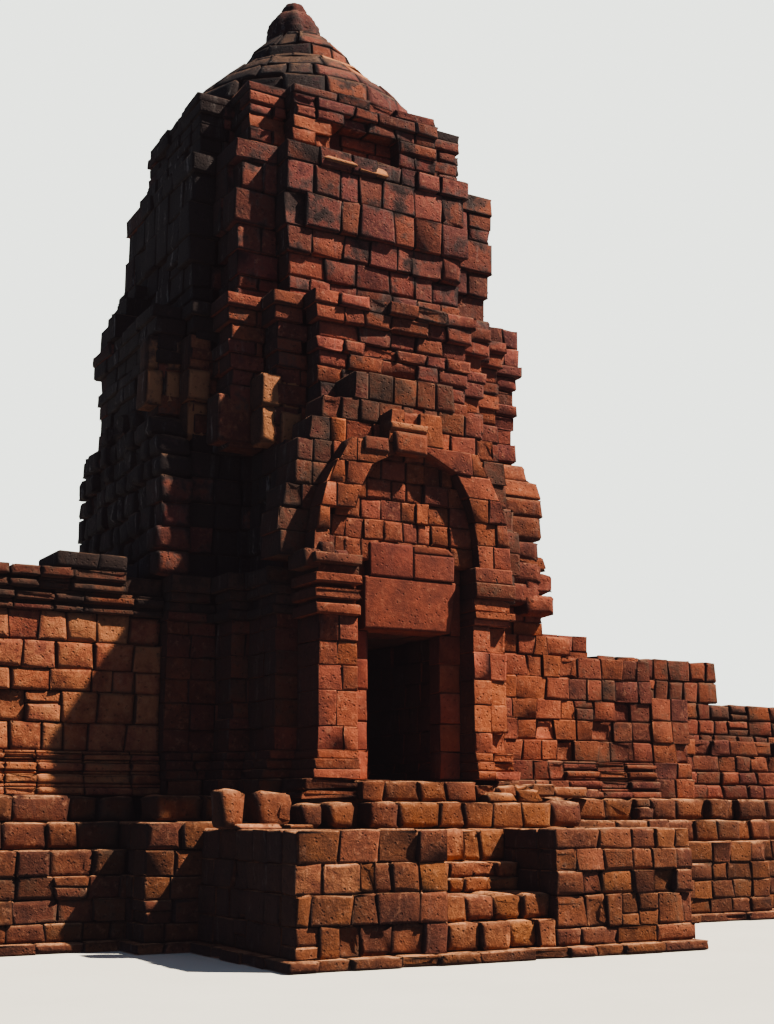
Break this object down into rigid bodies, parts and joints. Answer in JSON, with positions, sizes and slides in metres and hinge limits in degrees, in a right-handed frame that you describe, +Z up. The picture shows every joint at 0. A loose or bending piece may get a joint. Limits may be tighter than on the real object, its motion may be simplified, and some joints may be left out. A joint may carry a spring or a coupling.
{
  "type": "hindu temple",
  "caption": "Ruined laterite gate tower of a Khmer Hindu temple: stepped terrace with stairs, porches with arched pediments, a tiered tower with a lotus crown, and roofless wing walls",
  "frame": {"origin": "on the ground under the tower's axis, the centre of the part's footprint", "axes": "+Z up, the front stair and door face -Y, the wings run along X"},
  "size_m": [21.2, 11.74, 14.7],
  "materials": {
    "terrace_laterite": "weathered laterite blocks, dusty tops",
    "wall_laterite": "weathered orange-brown laterite blocks",
    "dark_laterite": "laterite blocks under black lichen",
    "dressed_stone": "smoother dressed stone of the door frame"
  },
  "bodies": {
    "root": {"ground_course": "terrace_laterite", "lower_terrace": "terrace_laterite", "upper_terrace": "terrace_laterite", "front_stair": "terrace_laterite", "back_stair": "terrace_laterite", "base_step": "terrace_laterite", "tower_floor": "terrace_laterite", "front_left_jamb": "dressed_stone", "front_right_jamb": "dressed_stone", "front_lintel": "dressed_stone", "front_relieving_stone_left": "dressed_stone", "front_relieving_stone_right": "dressed_stone", "back_left_jamb": "dressed_stone", "back_right_jamb": "dressed_stone", "back_lintel": "dressed_stone", "left_pediment": "dark_laterite", "upper_body": "dark_laterite", "ledge_stump": "dark_laterite", "second_tier": "dark_laterite", "third_tier": "dark_laterite", "crown_dome": "dark_laterite", "crown_ring": "dark_laterite", "finial": "dark_laterite", "body_corner_front_left": "wall_laterite", "body_corner_front_right": "wall_laterite", "body_corner_back_left": "wall_laterite", "body_corner_back_right": "wall_laterite", "body_cornice": "wall_laterite", "front_left_pilaster": "wall_laterite", "front_right_pilaster": "wall_laterite", "front_pediment_wall": "wall_laterite", "front_arch": "wall_laterite", "front_keystone": "wall_laterite", "back_left_pilaster": "wall_laterite", "back_right_pilaster": "wall_laterite", "back_pediment_wall": "wall_laterite", "back_arch": "wall_laterite", "right_pediment": "wall_laterite", "first_tier": "wall_laterite", "left_front_wall": "wall_laterite", "right_front_wall": "wall_laterite", "left_back_wall": "wall_laterite", "right_back_wall": "wall_laterite", "left_gallery_front_wall": "wall_laterite", "right_gallery_front_wall": "wall_laterite", "left_gallery_back_wall": "wall_laterite", "right_gallery_back_wall": "wall_laterite"}
  },
  "joints": []
}
